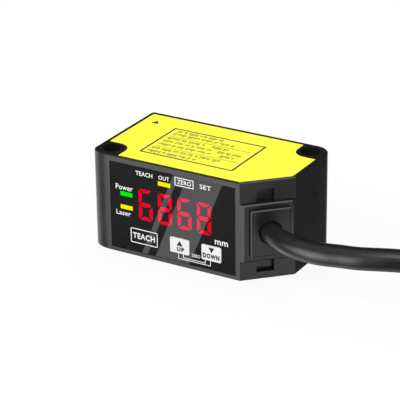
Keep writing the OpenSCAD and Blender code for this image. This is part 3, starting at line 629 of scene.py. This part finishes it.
finishes = {
    "housing": mouldedFinish("mouldedBlack", (0.0115, 0.0115, 0.0118), 0.1, (0.27, 0.34), 4.0, 0.14, 0.0015),
    "cover": mouldedFinish("coverBlack", (0.011, 0.011, 0.0112), 0.1, (0.32, 0.4), 4.0, 0.14, 0.0015),
    "grommet": mouldedFinish("grommetBlack", (0.012, 0.012, 0.012), 0.1, (0.3, 0.37), 3.0, 0.16, 0.0018),
    "cable": mouldedFinish("sheathBlack", (0.012, 0.012, 0.012), 0.08, (0.26, 0.31), 6.0, 0.3, 0.001),
    "panel": glassFinish("panelGloss", (0.0175, 0.0175, 0.0178), 0.015),
    "teachKey": glassFinish("keyGloss", (0.0175, 0.0175, 0.0178), 0.015),
    "whiteKey": mouldedFinish("whiteKeyCap", (0.775, 0.775, 0.775), 0.02, (0.5, 0.6), 2.0, 0.1, 0.0006, 0.2),
    "label": mouldedFinish("yellowFilm", (0.96, 0.95, 0.055), 0.012, (0.4, 0.5), 5.0, 0.4, 0.0008, 0.3),
    "whiteInk": mouldedFinish("whiteInk", (0.9, 0.9, 0.9), 0.03, (0.45, 0.55), 0.6, 0.06, 0.0004, 0.2),
    "blackInk": mouldedFinish("blackInk", (0.012, 0.012, 0.013), 0.05, (0.45, 0.55), 0.6, 0.06, 0.0004, 0.2),
    "navyInk": mouldedFinish("navyInk", (0.013, 0.013, 0.085), 0.06, (0.45, 0.55), 0.6, 0.06, 0.0004, 0.2),
    "greyInk": mouldedFinish("paleNavyInk", (0.03, 0.03, 0.06), 0.1, (0.45, 0.55), 0.6, 0.06, 0.0004, 0.2),
    "red": litFinish("litRed", (0.91, 0.0, 0.021), 0.48, (0.75, 0.49, 1.0)),
    "green": litFinish("litGreen", (0.0, 0.86, 0.0)),
    "yellow": litFinish("litYellow", (0.96, 0.83, 0.0)),
    "window": glassFinish("darkRedGlass", (0.03, 0.002, 0.004), 0.02),
    "board": mouldedFinish("boardGreen", (0.012, 0.1, 0.045), 0.2, (0.3, 0.4), 0.8, 0.3, 0.004),
    "chip": mouldedFinish("chipBlack", (0.02, 0.02, 0.021), 0.1, (0.5, 0.6), 1.0, 0.1, 0.002),
    "darkPlastic": mouldedFinish("innerBlack", (0.02, 0.02, 0.022), 0.1, (0.45, 0.55), 2.0, 0.15, 0.002),
    "bench": mouldedFinish("castMetal", (0.42, 0.42, 0.44), 0.08, (0.35, 0.5), 1.5, 0.2, 0.004, 0.5, 1.0),
    "steel": mouldedFinish("plainSteel", (0.55, 0.55, 0.56), 0.06, (0.25, 0.35), 0.8, 0.1, 0.001, 0.5, 1.0),
    "brass": mouldedFinish("turnedBrass", (0.6, 0.42, 0.16), 0.06, (0.25, 0.35), 0.8, 0.1, 0.001, 0.5, 1.0),
    "copper": mouldedFinish("bareCopper", (0.62, 0.27, 0.12), 0.1, (0.28, 0.4), 0.5, 0.15, 0.003, 0.5, 1.0),
    "lens": glassFinish("clearLens", (0.7, 0.78, 0.8), 0.02),
    "lamp": mouldedFinish("paleLamp", (0.75, 0.72, 0.6), 0.05, (0.3, 0.4), 0.5, 0.1, 0.001),
    "tie": mouldedFinish("blackNylon", (0.02, 0.02, 0.021), 0.1, (0.4, 0.5), 2.0, 0.2, 0.003),
    "lead": mouldedFinish("leadBrown", (0.16, 0.06, 0.02), 0.1, (0.35, 0.45), 2.0, 0.15, 0.002),
    "leadSet": leadFinish("leadColours", leads["colours"]),
}
nodeFinishes = {
    "housing": ["housing"], "cover": ["side_cover"], "label": ["side_label"], "panel": ["display_panel"],
    "teachKey": ["teach_key"], "whiteKey": ["up_key", "down_key"], "green": ["power_light"],
    "yellow": ["laser_light", "output_light"], "red": ["digit_segments"], "grommet": ["cable_grommet"],
    "window": ["front_window"], "board": ["display_board", "main_board", "sensor_board"],
    "chip": ["processor_chip", "image_sensor"], "bench": ["optical_bench"],
    "steel": ["bench_screws", "laser_diode"],
    "brass": ["laser_barrel", "teach_plunger", "up_plunger", "down_plunger"],
    "darkPlastic": ["digit_display", "board_header", "lens_ring", "teach_switch", "up_switch", "down_switch"],
    "lens": ["collimator_lens", "receiver_lens"], "lamp": ["power_led", "laser_led", "output_led"],
    "lead": ["conductors", "lead_wires"], "cable": ["cable", "cable_hank"], "tie": ["hank_ties"],
}
pieceFinishes = {
    "cable": [sheath], "leadSet": [leadInsulation], "copper": [leadCores], "red": [litDigits],
    "whiteInk": [panelLegends, teachMarks], "blackInk": [upMarks, downMarks],
    "navyInk": [labelLines], "greyInk": [labelRows],
}


def dress(piece, material):
    piece.data.materials.clear()
    piece.data.materials.append(material)


for finish, names in nodeFinishes.items():
    for name in names:
        dress(nodes[name], finishes[finish])
for finish, pieces in pieceFinishes.items():
    for piece in pieces:
        dress(piece, finishes[finish])
print("materials:", len(finishes))

# stage: floor, lamps, and what the gloss reflects
stage = {
    "floorSize": 6000.0, "floorColour": 0.86, "floorRough": 0.9,
    "floorWhite": 0.9,  # share of plain white in what the camera sees of the floor
    "lamps": [  # place and size in mm, and power
        ((-500, -900, 900), 700, 10.0), ((700, -700, 800), 600, 4.5), ((-100, 500, 1100), 800, 5.0),
    ],
    "lampAim": (0.0, 0.0, 10.0),
    "ambient": 0.55, "glossBase": 0.02,
    # pale fields that gloss sees: where, how bright, and the cosines at which each starts and is full
    "fields": [
        ((-0.236, -0.883, -0.406), 2.25, (0.83, 0.97)),  # low in front
        ((-0.45, -0.89, 0.05), 4.7, (0.82, 1.0)),  # level in front
        ((-0.42, -0.72, 0.55), 0.5, (0.82, 1.0)),  # high in front
        ((-0.905, 0.127, -0.406), 1.7, (0.82, 1.0)),  # left
        ((0.786, -0.467, -0.406), 1.4, (0.82, 1.0)),  # right of the cable corner
        ((0.887, 0.221, -0.406), 1.77, (0.82, 1.0)),  # right
        ((-0.35, -0.1, 0.93), 0.6, (0.82, 1.0)),  # overhead
        ((0.446, -0.128, 0.885), 3.5, (0.82, 1.0)),  # overhead to the right
        ((-0.467, -0.042, -0.884), 1.4, (0.82, 1.0)),  # below
        ((-0.24, 0.88, -0.41), 0.8, (0.82, 1.0)),  # behind
    ],
}


# a flat piece of the stage, through its corners in mm
def addFlat(name, corners):
    mesh = bpy.data.meshes.new(name)
    mesh.from_pydata((np.array(corners, float) * mm).tolist(), [], [tuple(range(len(corners)))])
    flat = bpy.data.objects.new(name, mesh)
    bpy.context.scene.collection.objects.link(flat)
    return flat


# floor: matt to the light, and to the camera mostly plain white
def addFloor(stage):
    half = stage["floorSize"] / 2
    floor = addFlat("floor", [(x, y, 0.0) for x, y in rectangle(-half, half, -half, half)])
    floor.visible_glossy = False
    material, tree, shader = newMaterial("paleFloor")
    shader.inputs["Base Color"].default_value = (*[stage["floorColour"]] * 3, 1)
    shader.inputs["Roughness"].default_value = stage["floorRough"]
    shader.inputs["Specular IOR Level"].default_value = 0.0
    glow = tree.nodes.new("ShaderNodeEmission")
    glow.inputs["Strength"].default_value = 1.0
    path = tree.nodes.new("ShaderNodeLightPath")
    mix = tree.nodes.new("ShaderNodeMixShader")
    share = tree.nodes.new("ShaderNodeMath")
    share.operation = "MULTIPLY"
    share.inputs[1].default_value = stage["floorWhite"]
    tree.links.new(path.outputs["Is Camera Ray"], share.inputs[0])
    tree.links.new(share.outputs[0], mix.inputs["Fac"])
    tree.links.new(shader.outputs["BSDF"], mix.inputs[1])
    tree.links.new(glow.outputs["Emission"], mix.inputs[2])
    tree.links.new(mix.outputs["Shader"], tree.nodes["Material Output"].inputs["Surface"])
    floor.data.materials.append(material)


def addLamps(stage):
    for k, (place, size, power) in enumerate(stage["lamps"]):
        light = bpy.data.lights.new(f"lamp{k}", "AREA")
        light.size = size * mm
        light.energy = power
        lamp = bpy.data.objects.new(f"lamp{k}", light)
        bpy.context.scene.collection.objects.link(lamp)
        aim = np.array(stage["lampAim"]) - np.array(place, float)
        back = -aim / np.linalg.norm(aim)
        right = np.cross([0.0, 0.0, 1.0], back)
        right /= np.linalg.norm(right)
        pose = np.eye(4)
        pose[:3, :3] = np.stack([right, np.cross(back, right), back], 1)
        pose[:3, 3] = np.array(place) * mm
        lamp.matrix_world = Matrix(pose.tolist())
        lamp.visible_glossy = False
        lamp.visible_camera = False


# cards that only gloss sees: in front of the panel a dark one and two pale stripes that join at the top, and
# near the cable a pale one above and a dark one in front
cards = {
    "away": 150.0, "lift": 1.0, "margin": 3.0, "bright": 1.7,
    "stripes": [  # outlines as they show on the panel, in mm from its lower left corner
        [(7.25, -0.4), (8.8, 0.1), (15.65, 16.86), (15.4, 19.5)],
        [(10.64, -0.2), (18.7, -0.1), (21.0, 5.13), (23.65, 11.64), (26.74, 19.36), (17.58, 16.97)],
        [(15.65, 16.86), (17.58, 16.97), (26.78, 19.36), (15.4, 19.5)],
    ],
    "overCable": [(36, -44, 48), (62, -44, 48), (62, -20, 48), (36, -20, 48)], "overBright": 3.0,
    "beforeCable": [(37, -53, -32), (75, -53, -32), (75, -53, 26), (37, -53, 26)],
}


# a point of the panel goes to the card along the line from the eye's mirror image behind the panel
def onCard(flat, away):
    mirrored = eye * np.array([1.0, -1.0, 1.0]) + np.array([0.0, 2 * panelLow[1], 0.0])
    shown = onFace(flat, 0.0, panelFace)
    return mirrored + (shown - mirrored) * (1 + away / (mirrored[1] - panelLow[1]))


def addCard(name, corners, bright):
    card = addFlat(name, corners)
    for ray in ("camera", "diffuse", "transmission", "volume_scatter", "shadow"):
        setattr(card, "visible_" + ray, False)
    material, _, shader = newMaterial(name)
    shader.inputs["Base Color"].default_value = (0, 0, 0, 1)
    shader.inputs["Specular IOR Level"].default_value = 0.0
    shader.inputs["Emission Color"].default_value = (1, 1, 1, 1)
    shader.inputs["Emission Strength"].default_value = bright
    material.cycles.emission_sampling = "NONE"
    card.data.materials.append(material)


def addCards(cards):
    wide, tall = panelHigh[0] - panelLow[0], panelHigh[2] - panelLow[2]
    edge = cards["margin"]
    addCard("darkCard", onCard(rectangle(-edge, wide + edge, -edge, tall + edge), cards["away"]), 0.0)
    for k, outline in enumerate(cards["stripes"]):
        addCard(f"paleStripe{k}", onCard(outline, cards["away"] - cards["lift"]), cards["bright"])
    addCard("overCable", cards["overCable"], cards["overBright"])
    addCard("beforeCable", cards["beforeCable"], 0.0)


# world: white to the camera, a soft grey to diffuse light, and to gloss a dark sky with pale fields
def addWorld(stage):
    world = bpy.data.worlds.new("studio")
    bpy.context.scene.world = world
    world.use_nodes = True
    tree = world.node_tree
    tree.nodes.clear()

    def math(operation, first, second):
        node = tree.nodes.new("ShaderNodeMath")
        node.operation = operation
        for socket, value in zip(node.inputs, (first, second)):
            if isinstance(value, (int, float)):
                socket.default_value = value
            else:
                tree.links.new(value, socket)
        return node.outputs[0]

    def eased(source, start, end, high):
        node = tree.nodes.new("ShaderNodeMapRange")
        node.interpolation_type = "SMOOTHSTEP"
        for name, value in (("From Min", start), ("From Max", end), ("To Min", 0.0), ("To Max", high)):
            node.inputs[name].default_value = value
        tree.links.new(source, node.inputs["Value"])
        return node.outputs["Result"]

    aim = tree.nodes.new("ShaderNodeTexCoord").outputs["Generated"]

    def facing(direction):
        node = tree.nodes.new("ShaderNodeVectorMath")
        node.operation = "DOT_PRODUCT"
        tree.links.new(aim, node.inputs[0])
        node.inputs[1].default_value = direction
        return node.outputs["Value"]

    gloss = stage["glossBase"]
    for direction, bright, reach in stage["fields"]:
        gloss = math("ADD", gloss, eased(facing(direction), *reach, bright))
    path = tree.nodes.new("ShaderNodeLightPath")
    isGloss, isCamera = path.outputs["Is Glossy Ray"], path.outputs["Is Camera Ray"]
    level = math("ADD", math("MULTIPLY", gloss, isGloss),
                 math("MULTIPLY", math("SUBTRACT", 1.0, isGloss), stage["ambient"]))
    level = math("MAXIMUM", level, isCamera)
    background = tree.nodes.new("ShaderNodeBackground")
    output = tree.nodes.new("ShaderNodeOutputWorld")
    tree.links.new(level, background.inputs["Strength"])
    tree.links.new(background.outputs["Background"], output.inputs["Surface"])


addFloor(stage)
addLamps(stage)
addCards(cards)
addWorld(stage)
bpy.context.scene.view_settings.view_transform = "Standard"
print("stage done")
